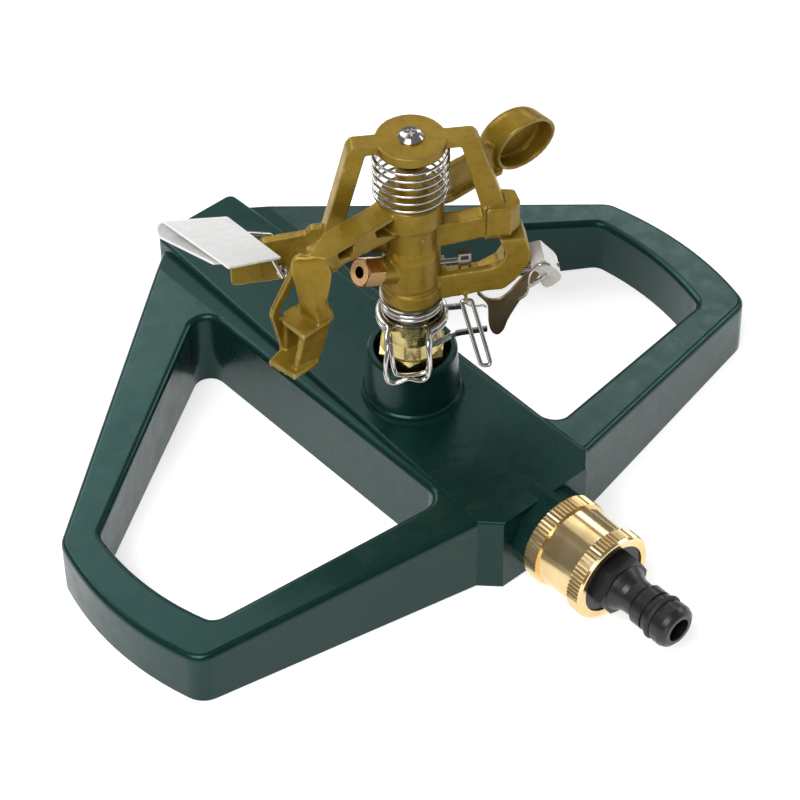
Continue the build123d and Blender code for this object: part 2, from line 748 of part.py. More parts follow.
def lower_collar():
    """Lower wire collar; its tail drops to the height of the trip lever's tip."""
    z = collar_lower_z
    y = lower_handle_y
    low = lower_handle_z
    left = handle_left + 2.6
    right = handle_right + 1.1
    handle = [ring_end(collar_left_angle, z), (left - 1.4, y + 2.7, z - 2.8), (left - 1.2, y + 0.9, low + 2.6),
              (left, y, low), (right, y, low), (right + 0.8, y + 1.2, low + 3.4),
              (right + 1.2, y + 3.2, z - 2.8), ring_end(collar_right_angle, z)]
    tail = [ring_end(collar_right_angle + 15, z - 0.3), (7.6, -9.9, lower_tail_z + 2.3),
            (13.6, -3.6, lower_tail_z + 0.1), (lower_tail_reach, -2.6, lower_tail_z)]
    return head_at * (open_ring(z) + wire(handle, collar_wire_r, 1.2) + wire(tail, collar_wire_r, 1.2))


# Trip mechanism
def trip_lever():
    """Flat lever hung from the trip pin, its tip beside the collars' tails."""
    x = trip_axis_x
    z = trip_axis_z
    outline = [(x - 11.9, z - 28.9), (x - 13.7, z - 30.3), (x - 15.9, z - 28.9), (x - 16.5, z - 25.5),
               (x - 16.5, z - 20.5), (x - 16.9, z - 15.3), (x - 19.9, z - 11.7), (x - 19.7, z - 9.9),
               (x - 17.4, z - 12.1), (x - 14.6, z - 13.9), (x - 11.8, z - 11.9), (x - 9.1, z - 7.8),
               (x - 4.9, z - 3.9), (x - 2.0, z - 0.4), (x - 1.7, z + 2.4), (x + 1.7, z + 2.4), (x + 2.3, z),
               (x + 0.9, z - 3.5), (x - 2.1, z - 8.3), (x - 5.8, z - 13.7), (x - 9.1, z - 18.7),
               (x - 11.1, z - 25.5)]
    plate = slab_xz(outline, lever_y - lever_t / 2, lever_y + lever_t / 2)
    boss = out_along_x(2.4, x - 1.7, x + 1.7)
    hole = out_along_x(trip_pin_r + run_fit, x - 10, x + 10)
    return head_at * (plate + boss - hole)


def trip_pin():
    """Pin that the trip lever rocks on, pointing out from the bracket."""
    body = out_along_x(trip_pin_r, trip_pin_start, trip_pin_end)
    head = out_along_x(2.0, trip_pin_end, trip_pin_end + 0.8)
    return head_at * (body + head)


def trip_bracket():
    """Stamped stainless saddle on the bracket's outer end, its face carrying the pin's far end."""
    t = cheek_t
    half = cheek_gap / 2
    near_y = lever_y - half - t
    far_y = lever_y + half + t
    sx = saddle_seat_x + seat
    x = trip_axis_x
    z = trip_axis_z
    cheek = [(sx, z + 4.5), (sx, z + 6.9), (x + 1.5, z + 7.9), (x + 6.1, z + 2.3), (x + 7.5, z - 0.1),
             (x + 7.1, z - 1.9), (x + 4.4, z - 4.3), (x + 2.2, z - 5.0), (x + 0.6, z - 3.2), (x + 0.2, z - 0.6),
             (x - 0.6, z + 2.4)]
    body = slab_xz(cheek, near_y, near_y + t) + slab_xz(cheek, far_y - t, far_y)
    body += slab_xz([(x + 1.5, z + 7.9), (x + 6.1, z + 2.3), (x + 5.4, z + 1.7), (x + 0.8, z + 7.1)], near_y, far_y)
    body += slab_xz([(x + 6.1, z + 2.3), (x + 7.5, z - 0.1), (x + 7.1, z - 1.9), (x + 6.2, z - 2.2),
                     (x + 6.5, z - 0.1), (x + 5.4, z + 1.7)], near_y, far_y)
    body += slab_xz([(sx, z + 4.5), (sx, z + 6.9), (x + 1.5, z + 7.9), (x + 1.2, z + 7.0), (sx + t, z + 6.1),
                     (sx + t, z + 4.5)], near_y, far_y)
    return head_at * (body - out_along_x(trip_pin_r + seat, x - 13, x + 17))


def over_centre_spring():
    """Bent wire of the trip, lying against the saddle's near cheek."""
    y = lever_y - cheek_gap / 2 - cheek_t - 0.52
    x = trip_axis_x
    z = trip_axis_z
    path = [(x + 2.1, z + 2.1), (x - 3.5, z - 2.6), (x - 3.1, z + 3.0), (x - 0.2, z + 7.7), (x + 2.5, z + 8.7),
            (x + 4.5, z + 7.1)]
    return head_at * wire([(px, y, pz) for px, pz in path], 0.5, 0.8)


def window_clip():
    """Small clip on a rod in the window between the bracket and the outer cross bar."""
    y0 = clip_y - clip_w / 2
    y1 = clip_y + clip_w / 2
    x0 = clip_x
    x1 = clip_x + 4.4
    rod = Pos((clip_rod_x + x1) / 2, clip_y, clip_z) * Rot(0, 90, 0) * Cylinder(clip_rod_r, x1 - clip_rod_x)
    body = box(x0, x1, y0, y1, clip_z - 1.6, clip_z + 3.8)
    body -= box(x0 + 0.8, x1 - 0.8, y0 - 1, y1 + 1, clip_z + 1.2, clip_z + 3.0)
    foot = box(x0, x0 + 0.8, y0, y1, clip_z - 4.4, clip_z) + box(x1 - 0.8, x1, y0, y1, clip_z - 4.4, clip_z)
    return head_at * (rod + body + foot)


def trip_hairpin():
    """Hairpin of round wire, its ends turned in to the lug that it swings on."""
    fx, fy, fz = hairpin_foot
    x = hairpin_top_x
    y = hairpin_y
    z = hairpin_z
    gap = hairpin_gap / 2
    inner = 0.12
    ends = [(x - inner, y, z), (x - gap, y, z), (fx - gap, fy, fz), (fx + gap, fy, fz), (x + gap, y, z),
            (x + inner, y, z)]
    return head_at * wire(ends, hairpin_wire_r, 0.8)


def hairpin_lug():
    """Pierced lug on the bracket's near side, between the hairpin's legs."""
    half = lug_t / 2
    x = hairpin_top_x
    low = hairpin_z - lug_edge
    lug = box(x - half, x + half, hairpin_y - lug_edge, -hook_w / 2 + 1.0, low, hairpin_z + lug_edge + 0.7)
    hole = Pos(x, hairpin_y, hairpin_z) * Rot(0, 90, 0) * Cylinder(hairpin_wire_r + run_fit, 10)
    return lug - hole


# Flap
def flap_local(shape):
    """Carry from the flap's own corner frame (x outward, y across) to its place."""
    x, y, z = flap_corner
    return Pos(x, y, z) * Rot(0, 0, flap_azimuth) * Rot(0, -flap_rise, 0) * shape


def flap_point(x, y, z):
    """Point given in the flap's own frame."""
    p = flap_local(Pos(x, y, z)).position
    return (p.X, p.Y, p.Z)


def flap_frame():
    """Wire frame: hinge pin through the blade, both arms running in under the folded sheet."""
    deep = -(flap_t + flap_pin_r + 0.03)
    x = flap_pin_x
    z = flap_pin_z
    far = flap_pin_far_y
    path = [flap_point(12.0, -2.2, deep), flap_point(1.5, -2.2, deep), (x, flap_pin_near_y, z), (x, far, z),
            (x - 2.6, far, z + 7.4), flap_point(1.0, -20.5, deep), flap_point(11.0, -21.5, deep)]
    return head_at * wire(path, flap_pin_r, 0.9)


def flap():
    """Folded stainless sheet: flat leg, rounded fold on the far side, and the closing lower leg."""
    t = flap_t
    w = flap_span_outer
    h = flap_fold_h
    line = Polyline((8, 0), (-w, 0))
    line += ThreePointArc((-w, 0), (-w - h / 2, -h / 2), (-w, -h))
    line += Polyline((-w, -h), (-flap_lip, -2.0 - t), (-flap_lip, -2.0))
    line += Polyline((-flap_lip, -2.0), (-w, -h + t))
    line += ThreePointArc((-w, -h + t), (-w - h / 2 + t, -h / 2), (-w, -t))
    line += Polyline((-w, -t), (8, -t), (8, 0))
    # The fold runs slightly askew to the near edge
    lean = math.degrees(math.atan2(flap_span_outer - flap_span_inner, flap_len + flap_inner_lean))
    sheet = Pos(-20, 0, 0) * extrude(Plane.YZ * make_face(line), flap_len + 40)
    sheet = Pos(flap_len, -w, 0) * Rot(0, 0, -lean) * Pos(-flap_len, w, 0) * sheet
    side = flap_inner_lean / flap_span_inner
    plan = [(0, 0), (flap_len, 0), (flap_len, -w - 10), (-side * (w + 10), -w - 10)]
    trim = Pos(0, 0, -20) * extrude(make_face(Polyline(*plan, close=True)), 30)
    return head_at * flap_local(sheet & trim)


def flap_spring():
    """Torsion coil on the flap's pin, on the near side of the blade."""
    turns = 3
    body = coil(1.5, 0.35, 0.85, turns, 0)
    return head_at * Pos(flap_pin_x, blade_near_y - 0.6, flap_pin_z) * Rot(90, 0, 0) * body


def out_along_x(r, x0, x1):
    """Rod on the trip axis between two distances from the riser."""
    return Pos((x0 + x1) / 2, lever_y, trip_axis_z) * Rot(0, 90, 0) * Cylinder(r, x1 - x0)


# Swivel and connector
def knurled_rim(r, length):
    """Straight-knurled rim standing on z = 0."""
    points = []
    for i in range(swivel_teeth * 2):
        a = math.pi * i / swivel_teeth
        rr = r if i % 2 else r - tooth_deep
        points.append((rr * math.cos(a), rr * math.sin(a)))
    return extrude(make_face(Polyline(*points, close=True)), length)


def swivel():
    """Brass swivel nut: two knurled rims, a smooth band, and the threaded socket."""
    rear = Pos(0, 0, 0.5) * knurled_rim(swivel_r, swivel_rim - 0.5)
    front = Pos(0, 0, swivel_len - swivel_rim) * knurled_rim(swivel_r, swivel_rim - 1.0)
    body = disc(swivel_band_r, 0.5, swivel_len - 0.5) + rear + front
    body += turned([(0, 0), (swivel_r - 1.0, 0), (swivel_r - 0.5, 0.5), (0, 0.5)])
    body += turned([(0, swivel_len - 1.0), (swivel_r - 0.4, swivel_len - 1.0), (swivel_r - 0.8, swivel_len - 0.2),
                    (swivel_r - 1.2, swivel_len), (0, swivel_len)])
    shelf = abs(neck_end_y - swivel_rear_y) + swivel_shelf
    body -= disc(neck_across / 2 / math.cos(math.pi / 8) + 0.4, -1, shelf - swivel_shelf + stop_gap)
    body -= disc(tail_r + stop_gap, -1, swivel_len)
    body -= disc(swivel_bore_r, shelf, swivel_len + 1)
    return riser_at * along_inlet(body, swivel_rear_y)


def inlet_tail():
    """Brass tail pressed into the neck, its flange holding the swivel."""
    shank = abs(tail_face_y - (neck_end_y + 18))
    body = disc(tail_r, 0, shank) + disc(tail_flange_r, shank, shank + tail_flange_t)
    body -= disc(bore_r, -1, shank + 5)
    return riser_at * along_inlet(body, neck_end_y + 18)


def hose_washer():
    """Flat rubber washer against the tail's flange."""
    return riser_at * along_inlet(ring(12.4, 6.5, 0, washer_t), washer_y)


def groove(z, r_in, w):
    """Ring-shaped cutter for a groove."""
    return ring(20, r_in, z - w / 2, z + w / 2)


def plug():
    """Plastic quick connector: threaded end, disc, hexagon, waist, collar and grooved nose."""
    face = abs(plug_back_y - (swivel_rear_y - swivel_len))
    tip = abs(plug_back_y - plug_tip_y)
    body = disc(plug_thread_r, 0, face - 0.6)
    body += Pos(0, 0, face - 0.7) * hexagon(plug_hex, 0, plug_hex_len, 0.6)
    h = face + plug_hex_len - 0.8
    body += turned([(0, h - 1), (9.4, h - 1), (8.2, h + 1.2), (plug_neck_r + 0.5, h + 3.2), (plug_neck_r, h + 5.0),
                    (plug_neck_r, h + 8.4), (plug_body_r, h + 9.8), (plug_body_r, tip - 5.5), (plug_tip_r, tip - 5.2),
                    (plug_tip_r, tip - 2.6), (plug_tip_r - 0.7, tip - 1.0), (plug_tip_r - 2.2, tip), (0, tip)])
    body -= groove(tip - 8.0, ring_groove_r, 2.4)
    body -= groove(tip - 11.2, ring_groove_r + 0.8, 0.9)
    body -= disc(plug_bore_r, -1, tip + 1)
    return riser_at * along_inlet(body, plug_back_y)


def plug_ring():
    """Rubber ring in the nose groove."""
    tip = abs(plug_back_y - plug_tip_y)
    body = Pos(0, 0, tip - 8.0) * Torus(ring_groove_r + seat + ring_wire_r, ring_wire_r)
    return riser_at * along_inlet(body, plug_back_y)


save(base_casting(), "base_casting")
save(riser(), "riser")
save(spindle(), "spindle")
save(seals(), "seal_washers")
save(bearing_spring(), "bearing_spring")
save(bearing_washers(), "bearing_washers")
save(head_casting(), "head_casting")
save(nozzle(), "nozzle")
save(arm_pin(), "arm_pin")
save(pin_screw(), "pin_screw")
save(drive_arm(), "drive_arm")
save(arm_bush(), "arm_bush")
save(arm_spring(), "arm_spring")
save(upper_collar(), "trip_collar_upper")
save(lower_collar(), "trip_collar_lower")
save(trip_lever(), "trip_lever")
save(trip_pin(), "trip_pin")
save(trip_bracket(), "trip_bracket")
save(over_centre_spring(), "over_centre_spring")
save(window_clip(), "window_clip")
save(trip_hairpin(), "trip_hairpin")
save(flap_frame(), "flap_frame")
save(flap(), "flap")
save(flap_spring(), "flap_spring")
save(swivel(), "swivel")
save(inlet_tail(), "inlet_tail")
save(hose_washer(), "hose_washer")
save(plug(), "plug")
save(plug_ring(), "plug_ring")
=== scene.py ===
import bmesh
import bpy
import json
import math
from mathutils import Matrix, Vector

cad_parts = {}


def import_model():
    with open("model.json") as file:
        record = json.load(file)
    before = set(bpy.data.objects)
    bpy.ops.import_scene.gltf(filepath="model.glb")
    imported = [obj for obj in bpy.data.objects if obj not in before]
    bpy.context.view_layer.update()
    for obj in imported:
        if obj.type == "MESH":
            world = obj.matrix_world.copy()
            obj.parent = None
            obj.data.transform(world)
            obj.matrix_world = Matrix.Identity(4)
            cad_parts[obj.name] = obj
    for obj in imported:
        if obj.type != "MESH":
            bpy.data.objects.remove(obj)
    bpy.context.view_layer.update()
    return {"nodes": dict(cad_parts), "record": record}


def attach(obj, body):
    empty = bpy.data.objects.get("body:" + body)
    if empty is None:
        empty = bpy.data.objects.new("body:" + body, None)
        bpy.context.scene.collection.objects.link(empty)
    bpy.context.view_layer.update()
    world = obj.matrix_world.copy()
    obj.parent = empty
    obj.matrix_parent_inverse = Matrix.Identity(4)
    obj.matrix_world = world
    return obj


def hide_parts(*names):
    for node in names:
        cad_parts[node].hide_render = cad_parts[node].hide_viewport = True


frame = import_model()
nodes = frame["nodes"]
MM = 0.001

# Camera solved from the photograph: angles in degrees, lengths in mm
CAM_AZIMUTH = -41.139
CAM_ELEVATION = 44.812
CAM_ROLL = -0.679
CAM_DISTANCE = 1121.2
CAM_RIGHT = -4.70
CAM_UP = 19.68
CAM_LENS = 139.48
SENSOR = 36.0
HEAD_Y = 5.35
HEAD_TURN = -34.0


# Node helpers
class Shader:
    """A principled material whose inputs are fed by small procedural networks."""

    def __init__(self, name):
        self.mat = bpy.data.materials.new(name)
        self.mat.use_nodes = True
        self.tree = self.mat.node_tree
        self.tree.nodes.clear()
        self.out = self.add("ShaderNodeOutputMaterial")
        self.bsdf = self.add("ShaderNodeBsdfPrincipled")
        self.link(self.bsdf.outputs["BSDF"], self.out.inputs["Surface"])
        self.coords = self.add("ShaderNodeTexCoord").outputs["Object"]

    def add(self, kind, **values):
        node = self.tree.nodes.new(kind)
        for key, value in values.items():
            setattr(node, key, value)
        return node

    def link(self, a, b):
        self.tree.links.new(a, b)

    def set(self, **values):
        for key, value in values.items():
            self.bsdf.inputs[key.replace("_", " ")].default_value = value

    def stretched(self, scale, turn=(0, 0, 0)):
        node = self.add("ShaderNodeMapping")
        node.inputs["Scale"].default_value = scale
        node.inputs["Rotation"].default_value = [math.radians(a) for a in turn]
        self.link(self.coords, node.inputs["Vector"])
        return node.outputs["Vector"]

    def noise(self, scale, detail=3.0, rough=0.5, vector=None, distort=0.0):
        node = self.add("ShaderNodeTexNoise")
        node.inputs["Scale"].default_value = scale
        node.inputs["Detail"].default_value = detail
        node.inputs["Roughness"].default_value = rough
        node.inputs["Distortion"].default_value = distort
        self.link(vector or self.coords, node.inputs["Vector"])
        return node.outputs["Fac"]

    def span(self, value, low, high, to_low=0.0, to_high=1.0):
        node = self.add("ShaderNodeMapRange")
        node.inputs["From Min"].default_value = low
        node.inputs["From Max"].default_value = high
        node.inputs["To Min"].default_value = to_low
        node.inputs["To Max"].default_value = to_high
        self.link(value, node.inputs["Value"])
        return node.outputs["Result"]

    def math(self, operation, a, b):
        node = self.add("ShaderNodeMath", operation=operation)
        for socket, value in zip(node.inputs, (a, b)):
            if isinstance(value, (int, float)):
                socket.default_value = value
            else:
                self.link(value, socket)
        return node.outputs["Value"]

    def mix(self, factor, a, b):
        node = self.add("ShaderNodeMix", data_type="RGBA")
        self.link(factor, node.inputs[0])
        for socket, value in ((node.inputs[6], a), (node.inputs[7], b)):
            if isinstance(value, tuple):
                socket.default_value = (*value, 1.0)
            else:
                self.link(value, socket)
        return node.outputs[2]

    def colour(self, socket):
        self.link(socket, self.bsdf.inputs["Base Color"])

    def roughness(self, socket):
        self.link(socket, self.bsdf.inputs["Roughness"])

    def bump(self, height, strength, distance):
        node = self.add("ShaderNodeBump")
        node.inputs["Strength"].default_value = strength
        node.inputs["Distance"].default_value = distance
        self.link(height, node.inputs["Height"])
        self.link(node.outputs["Normal"], self.bsdf.inputs["Normal"])

    def edges(self, low, high):
        """1 on convex edges, 0 on flats and on single points that a fine mesh makes too high."""
        pointed = self.add("ShaderNodeNewGeometry").outputs["Pointiness"]
        believable = self.span(pointed, high + 0.02, high + 0.05, 1.0, 0.0)
        return self.math("MULTIPLY", self.span(pointed, low, high), believable)


def green_enamel():
    s = Shader("green_enamel")
    cloud = s.span(s.noise(22, 3), 0.3, 0.7)
    base = s.mix(cloud, (0.0026, 0.0190, 0.0155), (0.0038, 0.0235, 0.0195))
    s.colour(base)
    s.roughness(s.span(s.noise(160, 2), 0.3, 0.7, 0.24, 0.34))
    s.set(Metallic=0.0, Specular_IOR_Level=0.36, Coat_Weight=0.06, Coat_Roughness=0.05,
          Specular_Tint=(0.42, 0.95, 0.88, 1.0))
    peel = s.math("ADD", s.noise(260, 2), s.math("MULTIPLY", s.noise(1500, 1), 0.10))
    s.bump(peel, 0.10, 0.0003)
    return s.mat


def ochre():
    s = Shader("ochre_casting")
    cloud = s.span(s.noise(60, 4, 0.6), 0.35, 0.7)
    tone = s.mix(cloud, (0.220, 0.135, 0.011), (0.285, 0.185, 0.022))
    grime = s.span(s.noise(350, 3, 0.7), 0.50, 0.72)
    tone = s.mix(s.math("MULTIPLY", grime, 0.45), tone, (0.125, 0.070, 0.006))
    # painted highlight: convex edges made paler, more in some places than others by noise
    edge_highlight = s.math("MULTIPLY", s.edges(0.515, 0.60), s.span(s.noise(240, 2), 0.3, 0.6, 0.45, 1.0))
    s.colour(s.mix(edge_highlight, tone, (0.52, 0.42, 0.20)))
    s.roughness(s.span(s.noise(180, 3), 0.3, 0.7, 0.26, 0.42))
    s.set(Metallic=0.30, Specular_IOR_Level=0.5, Coat_Weight=0.03, Coat_Roughness=0.18,
          Specular_Tint=(1.0, 0.78, 0.26, 1.0))
    grain = s.math("ADD", s.noise(900, 2), s.math("MULTIPLY", s.noise(180, 3), 1.2))
    s.bump(grain, 0.10, 0.0004)
    return s.mat


def metal(name, bright, dull, rough, scale=220, brush=None, bump=0.05, patch=0.5, metallic=1.0):
    """Bare metal: two tones in soft patches, with fine streaks where brushed."""
    s = Shader(name)
    cloud = s.span(s.noise(scale, 3), 0.5 - patch / 2, 0.5 + patch / 2)
    s.colour(s.mix(cloud, dull, bright))
    s.set(Metallic=metallic)
    fine = s.noise(1400, 2, vector=s.stretched(brush) if brush else None)
    s.roughness(s.span(fine, 0.25, 0.75, rough * 0.85, rough * 1.2))
    s.bump(fine, bump, 0.00003)
    return s.mat


def plastic(name, tone, light, rough, grain=0.06):
    s = Shader(name)
    s.colour(s.mix(s.span(s.noise(90, 3), 0.3, 0.7), tone, light))
    s.roughness(s.span(s.noise(500, 2), 0.3, 0.7, rough * 0.85, rough * 1.15))
    s.bump(s.noise(2200, 2), grain, 0.0002)
    return s.mat


def flap_metal():
    """Bright stamped sheet with fine streaks."""
    s = Shader("flap_sheet")
    streak = s.noise(500, 3, vector=s.stretched((0.12, 1.0, 1.0), (0, 0, 3)))
    s.colour(s.mix(s.span(streak, 0.3, 0.7), (0.86, 0.85, 0.84), (0.92, 0.92, 0.91)))
    s.set(Metallic=0.15)
    s.roughness(s.span(streak, 0.25, 0.75, 0.30, 0.40))
    s.bump(streak, 0.03, 0.00004)
    return s.mat


looks = {
    "green_enamel": green_enamel(),
    "ochre_casting": ochre(),
    "riser_brass": metal("riser_brass", (0.66, 0.55, 0.25), (0.46, 0.37, 0.15), 0.24, 90),
    "nozzle_brass": metal("nozzle_brass", (0.66, 0.40, 0.20), (0.50, 0.28, 0.13), 0.26, 60, bump=0.01),
    "swivel_brass": metal("swivel_brass", (0.94, 0.74, 0.42), (0.80, 0.57, 0.26), 0.17, 120),
    "spindle_brass": metal("spindle_brass", (0.74, 0.58, 0.30), (0.60, 0.46, 0.22), 0.30),
    "stainless": metal("stainless", (0.60, 0.58, 0.55), (0.46, 0.44, 0.42), 0.17, 180),
    "stainless_sheet": metal("stainless_sheet", (0.74, 0.73, 0.71), (0.64, 0.63, 0.61), 0.30, 140, metallic=0.5),
    "bronze_plate": metal("bronze_plate", (0.26, 0.195, 0.105), (0.17, 0.125, 0.066), 0.36, 160),
    "grey_washer": plastic("grey_washer", (0.10, 0.10, 0.095), (0.14, 0.14, 0.13), 0.5),
    "bush_plastic": plastic("bush_plastic", (0.02, 0.02, 0.02), (0.03, 0.03, 0.03), 0.5),
    "black_plastic": plastic("black_plastic", (0.009, 0.009, 0.010), (0.016, 0.016, 0.017), 0.34),
    "black_rubber": plastic("black_rubber", (0.012, 0.012, 0.012), (0.02, 0.02, 0.02), 0.55),
}
slot_of = {row["node"]: row["material_slot"] for row in frame["record"]["subparts"]}
special = {"flap": flap_metal(), "window_clip": metal("clip_steel", (0.36, 0.35, 0.34), (0.26, 0.25, 0.24), 0.20)}
for name, node in nodes.items():
    node.data.materials.clear()
    node.data.materials.append(special.get(name) or looks[slot_of[name]])


def soften(node, voxel, rounds):
    """Round the edges of a casting: remesh finely, join points that fell together, then smooth."""
    remesh = node.modifiers.new("remesh", "REMESH")
    remesh.mode = "VOXEL"
    remesh.voxel_size = voxel * MM
    remesh.use_smooth_shade = True
    weld = node.modifiers.new("weld", "WELD")
    weld.merge_threshold = voxel * 0.3 * MM
    smooth = node.modifiers.new("smooth", "SMOOTH")
    smooth.factor = 0.5
    smooth.iterations = rounds


# Places: the arm's frame has its origin on the riser, the head's frame is turned about it
def arm_point(x, y, z):
    """Point of the arm's own frame, given in mm."""
    return Vector((x, y + HEAD_Y, z)) * MM


def head_point(x, y, z):
    """Point of the head's own frame, given in mm."""
    a = math.radians(HEAD_TURN)
    return Vector((x * math.cos(a) - y * math.sin(a), x * math.sin(a) + y * math.cos(a) + HEAD_Y, z)) * MM


def piece_of(mesh, name, body, slot_name, look=None):
    """A new object of the scene that rides on a body and takes a slot's finish."""
    piece = bpy.data.objects.new(name, mesh)
    bpy.context.scene.collection.objects.link(piece)
    mesh.materials.clear()
    mesh.materials.append(look or looks[slot_name])
    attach(piece, body)
    return piece


def add_loft(bm, sections):
    """Closed skin through loops of equally many points, capped at both ends."""
    rings = [[bm.verts.new(p) for p in loop] for loop in sections]
    for low, high in zip(rings, rings[1:]):
        for i in range(len(low)):
            j = (i + 1) % len(low)
            bm.faces.new((low[i], low[j], high[j], high[i]))
    bm.faces.new(list(reversed(rings[0])))
    bm.faces.new(rings[-1])


def add_plate(bm, outline, low, high):
    """Flat plate of the arm's frame between two heights."""
    add_loft(bm, [[arm_point(x, y, z) for x, y in outline] for z in (low, high)])


def smooth_loop(points, steps):
    """Closed smooth outline through the points."""
    made = []
    count = len(points)
    for i in range(count):
        a, b, c, d = (Vector(points[(i + k) % count]) for k in (-1, 0, 1, 2))
        for s in range(steps):
            u = s / steps
            made.append(0.5 * (2 * b + (c - a) * u + (2 * a - 5 * b + 4 * c - d) * u ** 2
                               + (3 * b - a - 3 * c + d) * u ** 3))
    return made


def between(rows, steps):
    """Rows of numbers with smooth in-between rows added."""
    made = []
    last = len(rows) - 1
    for i in range(last):
        a, b, c, d = (rows[min(max(i + k, 0), last)] for k in (-1, 0, 1, 2))
        for s in range(steps):
            u = s / steps
            made.append([0.5 * (2 * q + (r - p) * u + (2 * p - 5 * q + 4 * r - v) * u ** 2
                                + (3 * q - p - 3 * r + v) * u ** 3) for p, q, r, v in zip(a, b, c, d)])
    return made + [list(rows[last])]


def add_vane(bm):
    """Twisted drive vane, from the beam's end down to the scoop's lid."""
    rows = [(122.2, -46.4, 4.0, -44.2, 0.9, -42.0, -2.2), (121.4, -47.8, 4.3, -44.6, 0.5, -41.2, -3.4),
            (119.8, -48.8, 4.5, -44.7, 0.0, -40.6, -4.5), (116.5, -49.1, 4.3, -44.7, -0.7, -40.0, -5.4),
            (112.0, -48.6, 3.8, -44.9, -1.5, -41.0, -5.8), (107.5, -48.1, 3.3, -45.2, -2.4, -42.0, -5.6),
            (104.0, -47.7, 2.9, -45.5, -3.4, -41.9, -5.0), (101.0, -47.4, 2.5, -46.0, -4.9, -40.9, -5.2),
            (98.5, -47.0, 2.2, -46.6, -6.4, -39.9, -5.6), (96.0, -46.7, 2.0, -46.8, -6.8, -40.0, -5.9)]
    thick = 2.0
    sections = []
    for z, *places in between(rows, 6):
        front = [Vector(places[i:i + 2]) for i in (0, 2, 4)]
        along = (front[2] - front[0]).normalized()
        back = Vector((-along.y, along.x)) * thick
        loop = front + [p + back for p in reversed(front)]
        sections.append([arm_point(p.x, p.y, z) for p in loop])
    add_loft(bm, sections)


def add_scoop(bm):
    """Scoop below the vane: bent wall, lid, foot plate and the far vane."""
    rows = [(97.6, (-53.6, -6.6), (-42.0, -6.5), (-39.6, 0.4), (-44.0, 7.0), (-50.5, 7.6)),
            (90.0, (-54.7, -5.8), (-43.8, -6.6), (-41.4, 0.2), (-45.5, 6.6), (-51.5, 7.2)),
            (81.0, (-56.2, -4.4), (-47.0, -5.8), (-44.8, 0.4), (-47.5, 6.0), (-52.5, 6.5))]
    t = 2.0
    sections = []
    for z, front, near, mid, far, end in rows:
        loop = [front, near, mid, far, end, (end[0], end[1] - t), (far[0] - 0.7, far[1] - t),
                (mid[0] - t, mid[1]), (near[0] - 0.7, near[1] + t), (front[0], front[1] + t)]
        sections.append([arm_point(x, y, z) for x, y in loop])
    add_loft(bm, sections)
    add_plate(bm, [(-53.9, 4.4), (-53.9, -6.9), (-42.0, -6.6), (-39.6, 0.4), (-44.0, 7.0), (-49.0, 7.4)], 96.0, 98.0)
    add_plate(bm, [(-60.0, 4.9), (-58.2, -6.9), (-47.5, -6.4), (-44.8, 0.4), (-47.5, 6.2), (-53.5, 6.8)], 80.6, 82.6)
    far_side = [(-44, 118), (-48.0, 112.5), (-52.5, 106.5), (-55.8, 102.0), (-56.6, 99.2), (-55.4, 94), (-52.6, 81.6),
                (-49.5, 81.6), (-52.0, 94), (-53.0, 99.0), (-51.6, 102.5), (-45.0, 110), (-42, 116)]
    add_loft(bm, [[arm_point(x, y, z) for x, z in far_side] for y in (6.0, 8.0)])


def add_beam_end(bm):
    """Skewed end of the beam."""
    top = [(-36.0, -3.9), (-41.0, -3.9), (-43.8, 1.4), (-36.0, 5.0)]
    foot = [(-36.0, -3.2), (-40.2, -3.2), (-42.0, 1.6), (-36.0, 4.6)]
    add_loft(bm, [[arm_point(x, y, 115.0) for x, y in foot], [arm_point(x, y, 122.8) for x, y in top]])


def add_weight(bm):
    """Counterweight: a round cup, its mouth cut a little aslant, and the web that carries it."""
    mouth = arm_point(52.0, -1.4, 117.3)
    facing = Vector((-0.144, -0.968, -0.207)).normalized()
    back = Vector((-0.05, 0.995, 0.05))
    across = facing.cross(Vector((0, 0, 1))).normalized()
    upward = across.cross(facing)
    profile = [(11.6, 8.6), (11.1, 10.4), (9.9, 11.6), (8.4, 12.1), (0.5, 12.1), (0.0, 11.7), (0.0, 11.0), (0.5, 10.5),
               (5.6, 10.1), (6.2, 9.2)]
    steps = 64
    rings = []
    for depth, radius in profile:
        centre = mouth + back * depth * MM
        angles = [2 * math.pi * i / steps for i in range(steps)]
        rings.append([centre + (across * math.cos(a) + upward * math.sin(a)) * radius * MM for a in angles])
    add_loft(bm, rings)
    web = [(8.0, 123.0), (24.0, 122.8), (36.0, 122.3), (41.2, 121.0), (40.6, 117.5), (41.8, 112.7), (44.6, 108.8),
           (36.0, 109.2), (20.0, 109.2), (12.0, 112.2), (8.0, 115.4)]
    add_loft(bm, [[arm_point(x, y, z) for x, z in web] for y in (2.6, 5.4)])
    add_flange(bm, [(8.5, 115.6), (13.0, 111.8), (20.0, 109.7), (36.0, 109.6), (42.6, 108.9)], 0.6, 6.0, 1.9)


def add_flange(bm, route, y_low, y_high, thick):
    """Flange along an edge of the arm's web, given as (x, z) points."""
    for (x0, z0), (x1, z1) in zip(route, route[1:]):
        along = Vector((x1 - x0, z1 - z0)).normalized()
        up = Vector((-along.y, along.x)) * thick / 2
        start, end = Vector((x0, z0)) - along * 0.5, Vector((x1, z1)) + along * 0.5
        outline = [start - up, end - up, end + up, start + up]
        add_loft(bm, [[arm_point(p.x, y, p.y) for p in outline] for y in (y_low, y_high)])


